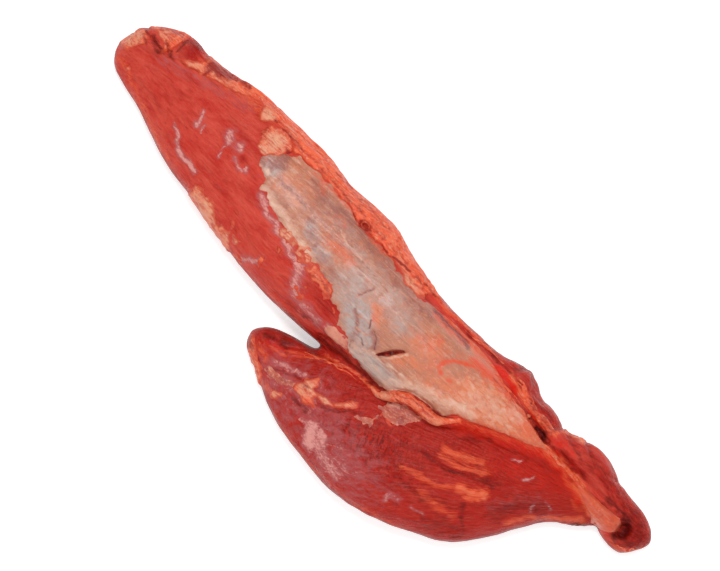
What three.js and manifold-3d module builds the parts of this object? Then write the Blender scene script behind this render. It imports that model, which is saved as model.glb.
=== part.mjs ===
// A whole peeled beef tenderloin, laid flat with its silverskin up, in millimetres.
// +X runs from the thin tail to the head, +Y points to the side strap and +Z is up.
// The meat is one piece: its muscles are grown together, so it is one closed solid.
import * as THREE from "three";
import { mergeVertices } from "three/addons/utils/BufferGeometryUtils.js";
import Module from "manifold-3d";

const wasm = await Module();
wasm.setup();

// Driving sizes
const TAIL_X = -279.5;
const HEAD_X = 279.5;
const SINK = 3; // how far a section would reach below the table before it is pressed flat
const RING_STEP = 7.4; // between two rings of a muscle
const RING_CROWDING = 1.3; // how many ring steps each tip gives up, so that its rings are close
const RING_CROWDING_REACH = 1.2; // over how many rings that fades
const UNEVEN = 0.9; // height of the slow swells of a soft muscle
const LEAN_RED = 0xc23c33;

// Each muscle is a row of sections across X: where it is, its low and high edge in Y, its top.
// lean moves the crown towards one edge, waist is the height of the widest level as a share.
const FILLET = {
  from: TAIL_X,
  to: 218,
  tipRadius: [11, 20],
  around: 36,
  waist: 0.34,
  lean: 0.12,
  sections: [
    [-280, 38, 60, 15],
    [-270, 32, 73, 20],
    [-255, 27.5, 79, 24],
    [-235, 21.5, 81, 28],
    [-210, 12, 81, 33],
    [-185, 3.5, 82, 38],
    [-160, -1, 83, 42],
    [-130, -7.5, 82, 46],
    [-100, -13.5, 80, 49],
    [-70, -17, 77, 52],
    [-40, -18, 75, 54],
    [-10, -17.5, 71, 56],
    [20, -15, 66, 58],
    [50, -14, 62, 58],
    [80, -10, 61, 57],
    [110, -2, 61, 53],
    [140, 8, 56, 47],
    [170, 18, 50, 40],
    [200, 26, 46, 32],
    [220, 30, 42, 26],
  ],
};

const HEAD_LOBE = {
  from: -56,
  to: 239,
  tipRadius: [10, 14],
  around: 30,
  waist: 0.36,
  lean: 0.16,
  sections: [
    [-56, -53, -38, 14],
    [-45, -59.5, -32, 19],
    [-30, -67, -27, 24],
    [-12, -76.5, -22, 29],
    [8, -84.5, -12, 34],
    [30, -88.5, -10, 39],
    [52, -92, -6, 43],
    [74, -93.5, 0, 46],
    [96, -90.5, 6, 47],
    [118, -84, 16, 47],
    [140, -74.5, 26, 45],
    [158, -66.5, 34, 42],
    [172, -55, 38, 39],
    [186, -36, 40, 36],
    [200, -12, 40, 33],
    [212, 2, 38, 30],
    [226, 11, 36, 26],
    [240, 20, 32, 20],
  ],
};

const SIDE_STRAP = {
  from: -275,
  to: 174,
  tipRadius: [9, 10],
  around: 16,
  waist: 0.5,
  lean: -0.12,
  sections: [
    [-276, 58, 69, 17],
    [-266, 60, 76, 23],
    [-252, 62, 84.5, 28],
    [-237, 63, 89, 30],
    [-218, 65, 87.5, 29],
    [-200, 67, 88, 30],
    [-181, 69, 92, 33],
    [-155, 69, 93, 36],
    [-125, 67, 93, 38],
    [-97, 65, 91, 39],
    [-75, 62, 86.5, 38],
    [-48, 60, 87.5, 40],
    [-22, 58, 85.5, 40],
    [-6, 56, 79, 39],
    [18, 52, 74, 37],
    [45, 49, 70.5, 36],
    [75, 48, 69.5, 36],
    [100, 47, 71, 36],
    [119, 45, 77, 36],
    [129, 44, 75.5, 35],
    [139, 43, 68.5, 33],
    [156, 41, 66, 30],
    [175, 42, 60, 24],
  ],
};

const HEAD_BAND = {
  from: 150,
  to: HEAD_X,
  tipRadius: [10, 11],
  around: 20,
  waist: 0.4,
  lean: 0.1,
  sections: [
    [149, 43, 57, 26],
    [165, 40, 58.5, 31],
    [178, 38, 62.5, 34],
    [200, 36, 68, 35],
    [218, 34, 64.5, 33],
    [232, 27, 59, 30],
    [243, 21, 57, 28],
    [256, 18.5, 55.5, 26],
    [267, 19.5, 52.5, 23],
    [281, 34, 47, 18],
  ],
};

// Ropes of tissue: their line, and their radius at its two ends
const SEAM_WEB = {
  radius: [8, 12],
  line: [
    [-9, -20, 9],
    [12, -14, 19],
    [40, -12, 26],
    [70, -5, 31],
    [100, 4, 33],
    [130, 19, 31],
    [160, 33, 27],
    [184, 40, 23],
  ],
};
const ROLLED_EDGE = {
  radius: [4.2, 4.8],
  line: [
    [34, -17, 33],
    [47, -13, 38],
    [57, -6.5, 42],
    [70, -3, 44],
    [84, -2.5, 45],
    [96, 1, 45],
    [104, 8.5, 44.5],
    [117, 17, 41.5],
  ],
};
const TENDON = {
  radius: [6.5, 7.5],
  line: [
    [196, 34, 24],
    [214, 33.5, 25],
    [232, 33, 23.5],
    [246, 34, 21.5],
  ],
};

// Lumps of fat and loose lean that raise the upper side: centre, radius, height
const LUMPS = [
  [-272, 58, 8, 3],
  [-263, 72, 9, 3.5],
  [-247, 78, 9, 3],
  [-234, 83, 8, 3.5],
  [-217, 78, 9, 2.5],
  [-196, 83, 10, 2],
  [-158, 85, 10, 3],
  [-133, 80, 12, 2.5],
  [-98, 84, 14, 2],
  [-60, 80, 11, 2.5],
  [-28, 76, 13, 3],
  [6, 68, 11, 2.5],
  [50, 64, 12, 2],
  [119, 66, 12, 4],
  [143, 58, 9, 2.5],
  [188, 56, 14, 3],
  [-44, -50, 9, 2.5],
  [8, -52, 13, 2],
  [146, -24, 18, 2],
  [-150, 3, 11, 1.5],
];

// Pockets cut into the meat: centre, half sizes, turn about Z
const POCKETS = [
  [33.5, 15, 57, 12, 1.9, 7, 47], // the slit in the silverskin
  [157, 47, 40, 14, 3.4, 14, -12], // the gap under the strap at the head
  [256, 34, 28, 7.5, 8.5, 13, 0], // the hollow past the tendon's end
  [-46, 72.5, 42, 4.2, 2.8, 7, -20], // a cut vein
];
const POCKET_SIDES = 14;
const ROPE_SIDES = 10;
const ROPE_STEP = 6;

// The sections as one smooth curve of x, which gives [low edge, high edge, top]
function alongTable(sections) {
  const places = sections.map((row) => row[0]);
  const values = sections.flatMap((row) => row.slice(1));
  const curve = new THREE.CubicInterpolant(places, values, 3);
  return (x) => Array.from(curve.evaluate(x));
}

// How far along the muscle ring number n of count lies, from 0 to 1, closer near both tips
function ringPlace(n, count) {
  const atStart = Math.exp(-n / RING_CROWDING_REACH);
  const atEnd = Math.exp(-(count - n) / RING_CROWDING_REACH);
  const steps = n + RING_CROWDING * (atStart - atEnd - 1);
  return THREE.MathUtils.clamp(steps / (count - 2 * RING_CROWDING), 0, 1);
}

// 1 along the muscle, falling to 0 in a quarter circle at each tip
function tipRounding(x, muscle) {
  const fromTail = (x - muscle.from) / muscle.tipRadius[0];
  const fromHead = (muscle.to - x) / muscle.tipRadius[1];
  const near = THREE.MathUtils.clamp(Math.min(fromTail, fromHead), 0, 1);
  return Math.sqrt(1 - (1 - near) ** 2);
}

// Slow, irregular swells, from -1 to 1
function swell(x, y, z) {
  const long = Math.sin(x / 17.3 + y / 31.7 + 0.8);
  const wide = Math.sin(x / 29.1 - y / 13.9 + z / 21.3 + 2.1);
  return 0.5 * long + 0.5 * wide;
}

// How far the lumps raise the meat at a place
function lumpHeight(x, y) {
  return LUMPS.reduce((sum, [lumpX, lumpY, radius, height]) => {
    const away = Math.hypot(x - lumpX, y - lumpY) / radius;
    return sum + height * Math.exp(-(away ** 2));
  }, 0);
}

function powered(value, power) {
  return Math.sign(value) * Math.abs(value) ** power;
}

// A closed geometry as a solid that can be joined and cut
function solidOf(geometry) {
  const bare = geometry.clone();
  bare.deleteAttribute("normal");
  bare.deleteAttribute("uv");
  const merged = mergeVertices(bare, 1e-3);
  return new wasm.Manifold(
    new wasm.Mesh({
      numProp: 3,
      vertProperties: merged.attributes.position.array,
      triVerts: new Uint32Array(merged.index.array),
    }),
  );
}

// A sphere whose poles are the muscle's tips, with every point moved to the muscle's surface.
// The lower half of a section is squarer, and is pressed flat where it meets the table.
function muscleSolid(muscle) {
  const rings = Math.round((muscle.to - muscle.from) / RING_STEP + 2 * RING_CROWDING);
  const sphere = new THREE.SphereGeometry(1, muscle.around, rings);
  sphere.rotateZ(Math.PI / 2);
  const at = alongTable(muscle.sections);
  const points = sphere.attributes.position;
  const point = new THREE.Vector3();
  for (let i = 0; i < points.count; i++) {
    point.fromBufferAttribute(points, i);
    const ring = Math.round((Math.acos(THREE.MathUtils.clamp(-point.x, -1, 1)) / Math.PI) * rings);
    const x = THREE.MathUtils.lerp(muscle.from, muscle.to, ringPlace(ring, rings));
    const angle = Math.atan2(point.z, point.y);
    const rounding = tipRounding(x, muscle);
    const [low, high, top] = at(x);
    const waist = muscle.waist * top;
    const half = ((high - low) / 2) * rounding;
    const up = Math.max(0, Math.sin(angle));
    const down = Math.max(0, -Math.sin(angle));
    const across = powered(Math.cos(angle), up > 0 ? 0.88 : 0.6);
    const y = (low + high) / 2 + half * (across + muscle.lean * up ** 2);
    let z = waist + rounding * ((top - waist) * up ** 0.92 - (waist + SINK) * down ** 0.6);
    z += up * rounding * (UNEVEN * swell(x, y, top) + lumpHeight(x, y));
    points.setXYZ(i, x, y, Math.max(0, z));
  }
  return solidOf(sphere);
}

// A rope along a smooth line, its radius going from one end's to the other's, with round ends
function ropeSolid(rope) {
  const line = new THREE.CatmullRomCurve3(rope.line.map((p) => new THREE.Vector3(...p)));
  const length = line.getLength();
  const steps = Math.round(length / ROPE_STEP) + 4;
  const frames = line.computeFrenetFrames(steps, false);
  const sphere = new THREE.SphereGeometry(1, ROPE_SIDES, steps);
  sphere.rotateZ(Math.PI / 2);
  const points = sphere.attributes.position;
  const point = new THREE.Vector3();
  for (let i = 0; i < points.count; i++) {
    point.fromBufferAttribute(points, i);
    const ring = Math.round((Math.acos(THREE.MathUtils.clamp(-point.x, -1, 1)) / Math.PI) * steps);
    const share = ring / steps;
    const radius = THREE.MathUtils.lerp(rope.radius[0], rope.radius[1], share);
    const nearEnd = Math.min(1, (Math.min(share, 1 - share) * length) / radius);
    const width = radius * Math.sqrt(1 - (1 - nearEnd) ** 2);
    const angle = Math.atan2(point.z, point.y);
    const centre = line.getPointAt(share);
    centre.addScaledVector(frames.normals[ring], width * Math.cos(angle));
    centre.addScaledVector(frames.binormals[ring], width * Math.sin(angle));
    points.setXYZ(i, centre.x, centre.y, centre.z);
  }
  return solidOf(sphere);
}

// An ellipsoid, the hollow of a pocket
function pocketSolid([x, y, z, halfX, halfY, halfZ, turn]) {
  const sphere = new THREE.SphereGeometry(1, POCKET_SIDES, Math.round(POCKET_SIDES * 0.7));
  sphere.scale(halfX, halfY, halfZ);
  sphere.rotateZ(THREE.MathUtils.degToRad(turn));
  sphere.translate(x, y, z);
  return solidOf(sphere);
}

function geometryOf(solid) {
  const mesh = solid.getMesh();
  return new THREE.BufferGeometry()
    .setAttribute("position", new THREE.BufferAttribute(mesh.vertProperties, 3))
    .setIndex(new THREE.BufferAttribute(mesh.triVerts, 1));
}

const muscles = [FILLET, HEAD_LOBE, SIDE_STRAP, HEAD_BAND].map(muscleSolid);
const ropes = [SEAM_WEB, ROLLED_EDGE, TENDON].map(ropeSolid);
const joined = [...muscles, ...ropes].reduce((whole, next) => whole.add(next));
const cut = POCKETS.map(pocketSolid).reduce((whole, next) => whole.subtract(next), joined);

// The origin is the middle of the meat's own length and width, on the table
const meat = geometryOf(cut);
meat.computeBoundingBox();
const middle = meat.boundingBox.getCenter(new THREE.Vector3());
meat.translate(-middle.x, -middle.y, -meat.boundingBox.min.z);
meat.computeVertexNormals();

const tenderloin = new THREE.Mesh(
  meat,
  new THREE.MeshStandardMaterial({ color: LEAN_RED, roughness: 0.42, metalness: 0 }),
);
tenderloin.name = "tenderloin";

const model = new THREE.Group();
model.add(tenderloin);

export default model;
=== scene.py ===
import math
from itertools import product
import bpy
import numpy as np
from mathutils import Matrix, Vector


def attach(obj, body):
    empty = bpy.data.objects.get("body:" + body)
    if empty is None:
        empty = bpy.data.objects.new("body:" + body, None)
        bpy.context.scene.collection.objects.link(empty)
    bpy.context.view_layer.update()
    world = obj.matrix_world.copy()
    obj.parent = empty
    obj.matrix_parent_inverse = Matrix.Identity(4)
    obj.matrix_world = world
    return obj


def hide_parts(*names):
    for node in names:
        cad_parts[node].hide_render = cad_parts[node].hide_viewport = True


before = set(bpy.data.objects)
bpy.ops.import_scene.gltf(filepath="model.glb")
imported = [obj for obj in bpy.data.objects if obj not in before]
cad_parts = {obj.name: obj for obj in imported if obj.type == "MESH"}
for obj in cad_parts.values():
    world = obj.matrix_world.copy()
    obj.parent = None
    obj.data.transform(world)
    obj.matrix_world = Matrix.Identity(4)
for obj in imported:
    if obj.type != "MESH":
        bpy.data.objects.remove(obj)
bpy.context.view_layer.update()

# Camera: it hangs straight above the meat and is turned so that the tail points to the upper left.
# The frame is as wide as the photograph's at the middle of the meat's height.
CAMERA_HEIGHT = 3.0
FRAME_CENTRE = (-0.0179, 0.0365)
FRAME_WIDTH = 0.5488
MIDDLE_HEIGHT = 0.015
CAMERA_TURN = math.radians(42.57)

bpy.ops.object.camera_add(location=(*FRAME_CENTRE, CAMERA_HEIGHT), rotation=(0, 0, CAMERA_TURN))
camera = bpy.context.object
camera.data.lens = camera.data.sensor_width * (CAMERA_HEIGHT - MIDDLE_HEIGHT) / FRAME_WIDTH
bpy.context.scene.camera = camera
bpy.context.scene.view_settings.view_transform = "Standard"


# Studio: a plain matt white floor, lit a little from below, under even white light. One large soft
# lamp hangs over the side that is the photograph's top, and a weaker one opposite.
def linear(colour):
    """A colour written as sRGB hex, as linear red, green, blue and 1."""
    parts = [int(colour[i:i + 2], 16) / 255 for i in (0, 2, 4)]
    return (*[c / 12.92 if c <= 0.04045 else ((c + 0.055) / 1.055) ** 2.4 for c in parts], 1)


def add_node(tree, kind, settings={}, links={}):
    """A new node. settings are its properties or the values of its inputs, links feed its inputs."""
    made = tree.nodes.new(kind)
    for name, value in settings.items():
        if isinstance(name, str) and name not in made.inputs:
            setattr(made, name, value)
        else:
            made.inputs[name].default_value = value
    for name, source in links.items():
        tree.links.new(source, made.inputs[name])
    return made


def new_material(name):
    """An empty node material, and its node tree."""
    material = bpy.data.materials.new(name)
    material.use_nodes = True
    material.node_tree.nodes.clear()
    return material, material.node_tree


FLOOR_WHITE = "FAFAFA"
FLOOR_DROP = 0.0002
FLOOR_GLOW = 0.45
AMBIENT = 0.52
LAMPS = [((-0.25, 0.5, 1.6), 0.4, 14), ((0.5, -0.8, 1.5), 1.0, 7)]

bpy.ops.mesh.primitive_plane_add(size=8, location=(0, 0, -FLOOR_DROP))
floor = bpy.context.object
floor.name = "floor"
matt_paint, tree = new_material("matt white floor paint")
settings = {"Base Color": linear(FLOOR_WHITE), "Roughness": 1.0, "Specular IOR Level": 0.0}
glow = {"Emission Color": linear(FLOOR_WHITE), "Emission Strength": FLOOR_GLOW}
shader = add_node(tree, "ShaderNodeBsdfPrincipled", {**settings, **glow})
add_node(tree, "ShaderNodeOutputMaterial", {}, {"Surface": shader.outputs[0]})
floor.data.materials.append(matt_paint)

for place, side, watts in LAMPS:
    towards = Vector(place).to_track_quat("Z", "Y").to_euler()
    bpy.ops.object.light_add(type="AREA", location=place, rotation=towards)
    bpy.context.object.data.size = side
    bpy.context.object.data.energy = watts

world = bpy.data.worlds.new("even white light")
world.use_nodes = True
world.node_tree.nodes["Background"].inputs["Color"].default_value = (1, 1, 1, 1)
world.node_tree.nodes["Background"].inputs["Strength"].default_value = AMBIENT
bpy.context.scene.world = world


# Flesh: the grown-together lean muscles, bare where the butcher's knife has pulled the membrane
# off. It is the CAD solid's own form, remeshed and smoothed, with its creases and swells sculpted in.
MM = 0.001
VOXEL = 1.45 * MM
SMOOTHING = 14


def only(piece):
    """Selects this piece alone and makes it active."""
    bpy.ops.object.select_all(action="DESELECT")
    piece.select_set(True)
    bpy.context.view_layer.objects.active = piece


def modify(piece, kind, **settings):
    """Adds a modifier with its settings and applies it."""
    only(piece)
    modifier = piece.modifiers.new(kind.lower(), kind)
    for name, value in settings.items():
        setattr(modifier, name, value)
    bpy.ops.object.modifier_apply(modifier=modifier.name)


def copy_of(source, name):
    """A copy of an object with its own mesh."""
    piece = source.copy()
    piece.data = source.data.copy()
    piece.name = name
    bpy.context.collection.objects.link(piece)
    return piece


def points_of(piece):
    """The piece's vertices in millimetres."""
    points = np.empty(len(piece.data.vertices) * 3)
    piece.data.vertices.foreach_get("co", points)
    return points.reshape(-1, 3) / MM


def normals_of(piece):
    """The piece's vertex normals."""
    normals = np.empty(len(piece.data.vertices) * 3)
    piece.data.vertex_normals.foreach_get("vector", normals)
    return normals.reshape(-1, 3)


def put_points(piece, points):
    """Moves the piece's vertices to these places in millimetres."""
    piece.data.vertices.foreach_set("co", (points * MM).ravel())
    piece.data.update()


def paint(piece, name, values):
    """Stores a value, or a vector, for every vertex as an attribute that a material reads."""
    if values.ndim == 1:
        piece.data.attributes.new(name, "FLOAT", "POINT").data.foreach_set("value", values)
    else:
        layer = piece.data.attributes.new(name, "FLOAT_VECTOR", "POINT")
        layer.data.foreach_set("vector", values.ravel())


def noise(points, size, seed):
    """Smooth noise from -1 to 1, with lumps about as wide as size, in millimetres."""
    places = points / size
    cells = np.floor(places).astype(np.int64)
    share = places - cells
    share = share * share * (3 - 2 * share)
    total = np.zeros(len(points))
    for corner in product((0, 1), repeat=3):
        x, y, z = (cells + corner).T
        mixed = (x * 73856093) ^ (y * 19349663) ^ (z * 83492791) ^ (seed * 26544357)
        mixed = ((mixed ^ (mixed >> 13)) * 1274126177) & 0x7FFFFFFF
        mixed ^= mixed >> 15
        weight = np.where(corner, share, 1 - share).prod(axis=1)
        total += weight * ((mixed & 0xFFFF) / 32767.5 - 1)
    return total


def line_distance(plan, line):
    """How far each point of the plan lies from a line of straight stretches."""
    nearest = np.full(len(plan), np.inf)
    for start, end in zip(line[:-1], line[1:]):
        along = np.subtract(end, start, dtype=float)
        share = np.clip((plan - start) @ along / (along @ along), 0, 1)
        away = np.linalg.norm(plan - start - share[:, None] * along, axis=1)
        nearest = np.minimum(nearest, away)
    return nearest


def depth_inside(plan, outline):
    """How deep each point of the plan lies inside a closed outline, below zero outside it."""
    x, y = plan.T
    closed = [*outline, outline[0]]
    inside = np.zeros(len(plan), bool)
    for (x0, y0), (x1, y1) in zip(closed[:-1], closed[1:]):
        if y0 != y1:
            beside = x < (x1 - x0) * (y - y0) / (y1 - y0) + x0
            inside ^= ((y0 > y) != (y1 > y)) & beside
    return np.where(inside, 1, -1) * line_distance(plan, closed)


def spots(plan, rows):
    """Soft oval spots: x, y, half length, half width, turn in degrees, strength."""
    strongest = np.zeros(len(plan))
    for x, y, half_length, half_width, turn, strength in rows:
        cos, sin = math.cos(math.radians(turn)), math.sin(math.radians(turn))
        along = ((plan[:, 0] - x) * cos + (plan[:, 1] - y) * sin) / half_length
        across = ((plan[:, 1] - y) * cos - (plan[:, 0] - x) * sin) / half_width
        fade = np.exp(-0.9 * (along ** 2 + across ** 2) ** 1.5)
        strongest = np.maximum(strongest, strength * fade)
    return strongest


def strokes(plan, rows):
    """Soft strokes: half width, strength, and the line that they follow."""
    strongest = np.zeros(len(plan))
    for half_width, strength, line in rows:
        fade = np.exp(-(line_distance(plan, line) / half_width) ** 2)
        strongest = np.maximum(strongest, strength * fade)
    return strongest


# Creases that are both sculpted and darkened with painted blood and shade, as lines of the plan in
# millimetres
WING_CREASE = [(-14, -14), (0, -12), (22, -11), (40, -10.5), (48, -9.5)]
STRAP_CREASE = [(98, 66.5), (112, 65), (126, 64)]
CAP_CREASE = [(-263, 69), (-257, 66.5), (-250, 64.5)]
CAP_FOLD = [(-252, 73), (-247, 71), (-241, 68)]
BRANCH_CREASE = [(24, -51), (32, -46), (44, -37)]
SEAM_CREASE = [(115, 1), (124, 7), (134, 16)]
HEAD_CREASE = [(176, 60), (196, 52), (226, 52)]
BAND_CREASE = [(190, 66), (205, 58), (232, 60)]

# Grooves where one muscle meets the next, folds in the meat, and ridges, which have a depth below
# zero: half width, depth, line
GROOVES = [
    (2.4, 3.0, WING_CREASE),
    (1.4, 2.0, [(48, -9.5), (55, -3), (60, 1), (66, 3.5), (80, 4.5), (95, 5), (98, 8), (102, 13)]),
    (1.6, 0.8, [(102, 13), (120, 19), (146, 29), (168, 39)]),
    (2.0, 1.6, [(168, 46), (178, 46), (200, 43), (225, 41.5), (242, 41)]),
    (1.6, 1.6, [(24, 64), (44, 65.5), (62, 65)]),
    (1.8, 2.2, [(62, 65), (75, 65), (85, 66), (98, 66.5)]),
    (1.6, 1.2, STRAP_CREASE),
    (2.4, 2.8, [(126, 50.5), (142, 50), (150, 48.5), (158, 48), (166, 45.5)]),
    (2.6, -1.2, [(104, 62), (116, 63), (126, 60.5), (136, 57), (150, 55), (168, 53)]),
    (2.2, 1.6, [(108, 67), (113, 72), (118, 76)]),
    (2.2, 1.6, [(128, 76), (134, 66), (146, 66)]),
    (2.0, 2.8, CAP_CREASE),
    (1.4, 1.8, CAP_FOLD),
    (1.3, 2.0, [(-241, 86), (-240.5, 80), (-240, 74), (-237, 70)]),
    (1.2, 0.9, [(-237, 68), (-225, 70), (-205, 75.5), (-185, 80.5), (-168, 86)]),
    (2.0, 1.4, [(-30, -36), (-24, -32), (-14, -25), (2, -18)]),
    (1.6, 1.2, BRANCH_CREASE),
    (1.4, 1.0, [(-24, -55), (-14, -49), (-3, -45)]),
    (1.6, 1.2, [(104, -24), (124, -21), (142, -13), (158, -8)]),
    (1.8, 1.1, [(98, -52), (125, -50), (152, -36), (164, -24)]),
    (2.4, -0.8, [(106, -17), (118, -11), (130, -6), (140, -1)]),
    (2.4, -0.8, [(112, -20), (126, -15), (138, -10), (150, -4)]),
    (2.0, -0.8, [(102, -42), (120, -38), (130, -34), (137, -28)]),
    (4.0, -1.3, [(141, -26), (148, -22), (157, -17)]),
    (1.6, 1.0, [(132, 8), (146, 18), (158, 24)]),
    (1.5, 0.8, SEAM_CREASE),
    (1.2, 2.4, [(28, 8), (40, 22)]),
    (1.6, 1.4, [(-62, -12), (-44, -10), (-20, -9.5), (-4, -10)]),
    (1.8, 1.3, HEAD_CREASE),
    (1.8, 1.2, BAND_CREASE),
]

# The seams of the wing muscle of the head, and of the side muscle, with the fillet: y along x
WING_SEAM_X = [-60, -12, 20, 50, 62, 92, 101, 130, 170, 240]
WING_SEAM_Y = [-27, -13, -11, -9, 2, 4, 10, 25, 40.5, 39]
WING_START_X = -60
WING_END_X = 241
STRAP_SEAM_X = [-285, -264, -245, -220, -180, -120, -80, -20, 20, 80, 120, 165, 185, 285]
STRAP_SEAM_Y = [40, 60, 68, 73, 84, 80, 77, 68, 62, 61, 53, 44, 56, 56]
TENDON_ROOT = (236, 37)  # where the wing's fibres run together
FAN_RADIUS = 140  # where the fan's fibres are as wide as the fillet's
CRIMPS = [(70, -46, 46, 26, 20, 1.0), (20, -32, 34, 10, 24, 0.6), (130, -4, 40, 12, 24, 0.6)]


def in_wing(plan):
    """True where the plan lies in the wing muscle."""
    x, y = plan.T
    return (y < np.interp(x, WING_SEAM_X, WING_SEAM_Y)) & (x < WING_END_X) & (x > WING_START_X)


def grain_of(points):
    """Along the fibres, across them, and height: lengthwise in the fillet, fanned in the wing."""
    to_root = TENDON_ROOT - points[:, :2]
    fan = np.column_stack([
        -np.linalg.norm(to_root, axis=1),
        np.arctan2(to_root[:, 1], to_root[:, 0]) * -FAN_RADIUS,
        points[:, 2],
    ])
    grain = np.where(in_wing(points[:, :2])[:, None], fan, points)
    grain[:, 1] += 2.5 * noise(points, 30, 15) + 0.9 * noise(points, 9, 16)
    return grain


def sculpted(points, normals):
    """The points moved by the meat's swells, fibre bundles and grooves. The underside stays flat."""
    grain = grain_of(points)
    lift = noise(grain / (9, 1, 1), 4.5, 3) * 0.2 + noise(grain / (6, 1, 1), 10, 4) * 0.35
    lift += noise(points, 31, 1) * 0.9 + noise(points, 13, 2) * 0.45
    lift += noise(grain / (1, 3, 3), 3.6, 9) * 0.8 * spots(points[:, :2], CRIMPS)
    lift += noise(grain / (4, 1, 1), 5, 10) * np.where(in_wing(points[:, :2]), 0.6, 0.15)
    beyond_seam = points[:, 1] - np.interp(points[:, 0], STRAP_SEAM_X, STRAP_SEAM_Y)
    torn = noise(points / (3, 1, 1), 6, 7) * 0.9 + noise(points / (2, 1, 1), 3.2, 8) * 0.5
    lift += torn * np.clip(beyond_seam / 2, 0, 1)
    wander = np.column_stack([noise(points, 9, 5), noise(points, 9, 6)]) * 1.2
    for half_width, depth, line in GROOVES:
        away = line_distance(points[:, :2] + wander, line)
        lift -= depth * np.exp(-(away / half_width) ** 2)
    upward = np.clip(normals[:, 2] * 2 + 0.6, 0, 1)
    moved = points + normals * (upward * lift)[:, None]
    moved[:, 2] = np.maximum(moved[:, 2], 0)
    return moved


flesh = copy_of(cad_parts["tenderloin"], "flesh")
flesh.data.materials.clear()
only(flesh)
bpy.ops.object.mode_set(mode="EDIT")
bpy.ops.mesh.select_all(action="SELECT")
bpy.ops.mesh.remove_doubles(threshold=0.01 * MM)
bpy.ops.object.mode_set(mode="OBJECT")
modify(flesh, "REMESH", mode="VOXEL", voxel_size=VOXEL)
modify(flesh, "SMOOTH", factor=0.5, iterations=SMOOTHING)
put_points(flesh, sculpted(points_of(flesh), normals_of(flesh)))
modify(flesh, "SMOOTH", factor=0.5, iterations=1)
bpy.ops.object.shade_smooth()

# Where the meat is deeper red
DEEP = [
    (266, 37, 16, 12, 0, 1.0),
    (240, 50, 34, 8, -12, 0.8),
    (-231, 81, 8, 7, -40, 1.0),
    (122, 70, 30, 8, -8, 0.55),
    (152, 60, 18, 5, -10, 0.8),
    (82, 66, 22, 3, 2, 0.8),
    (-8, -12, 22, 4, 2, 0.7),
    (-38, -38, 16, 6, 30, 1.0),
    (-8, -20, 20, 7, 25, 0.45),
    (-148, 47, 3.5, 3, 0, 1.0),
    (205, 55, 36, 9, -4, 0.4),
    (-160, 82, 12, 5, -10, 0.7),
    (-30, 13, 18, 8, -30, 0.9),
    (190, 45, 24, 4, 0, 1.0),
]
# Where it is stained orange by thin fat: half width, strength, line
ORANGE = [
    (2.6, 0.41, [(17, 70), (40, 68), (62, 68), (90, 69.5)]),
    (3.4, 0.51, [(112, 64), (125, 61), (133, 58), (142, 55), (154, 55), (168, 53)]),
    (3.2, 0.54, [(160, 41), (175, 40), (190, 42), (205, 39), (216, 36)]),
    (4.2, 0.49, [(204, 34), (216, 32), (228, 26)]),
    (4.0, 0.36, [(172, 38), (190, 37), (212, 29)]),
    (3.0, 0.33, [(210, 24), (222, 24)]),
    (2.4, 0.45, [(172, 58), (178, 62), (188, 64)]),
    (2.2, 0.42, [(252, 23), (262, 22.5), (272, 26), (277, 33)]),
    (3.6, 0.43, [(186, -22), (196, -6), (208, 4), (220, 14), (228, 19)]),
    (5.0, 0.44, [(114, -11), (128, -5), (140, 1)]),
    (3.6, 0.42, [(114, -17), (128, -14), (138, -9), (149, -3)]),
    (9.0, 0.24, [(116, -11), (128, -8), (146, -2)]),
    (5.4, 0.52, [(141, -25), (148, -22), (154, -19), (158, -16)]),
    (3.0, 0.49, [(148, -28), (156, -23)]),
    (3.0, 0.4, [(96, -43), (120, -38), (130, -34), (137, -28)]),
    (6.0, 0.34, [(122, -47), (140, -47), (152, -45)]),
    (3.0, 0.36, [(-44, -47), (-28, -41), (-12, -31), (2, -22)]),
    (4.0, 0.38, [(-42, -50), (-32, -53)]),
    (1.6, 0.49, [(-2, -21), (10, -18), (22, -15.5), (34, -14), (46, -13)]),
    (3.5, 0.49, [(-53, -49), (-44, -56), (-34, -63), (-24, -69), (-8, -68)]),
    (2.5, 0.3, [(0, -81), (40, -90), (90, -89), (130, -78)]),
    (3.0, 0.37, [(-272, 42), (-256, 36), (-240, 28), (-215, 17), (-190, 9)]),
    (9.0, 0.41, [(-215, 82), (-120, 88), (-25, 78)]),
    (5.0, 0.32, [(106, 12), (128, 21), (146, 29), (166, 38)]),
]
# Where it is a clear scarlet: juice on bare meat beside the membrane and under the strands
SCARLET = [
    (3.6, 0.68, [(102, 61), (112, 60), (122, 57)]),
    (2.8, 0.59, [(143, 52), (157, 52.5)]),
    (7.0, 0.4, [(106, 8), (120, 15), (136, 22), (152, 29), (168, 36)]),
    (3.6, 0.51, [(178, 44), (192, 43), (206, 38)]),
    (3.0, 0.42, [(-213, 82), (-200, 85), (-188, 88)]),
    (5.0, 0.38, [(30, 68), (60, 68)]),
    (3.0, 0.31, [(-40, -44), (-20, -34), (0, -22), (30, -17)]),
    (12.0, 0.26, [(150, 8), (176, 22), (198, 30)]),
    (5.0, 0.5, [(166, 37), (180, 37), (200, 34), (214, 28)]),
    (3.0, 0.4, [(60, 68), (74, 68)]),
    (4.0, 0.4, [(168, 52), (186, 52)]),
    (4.0, 0.4, [(140, 60), (162, 58)]),
]
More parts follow.
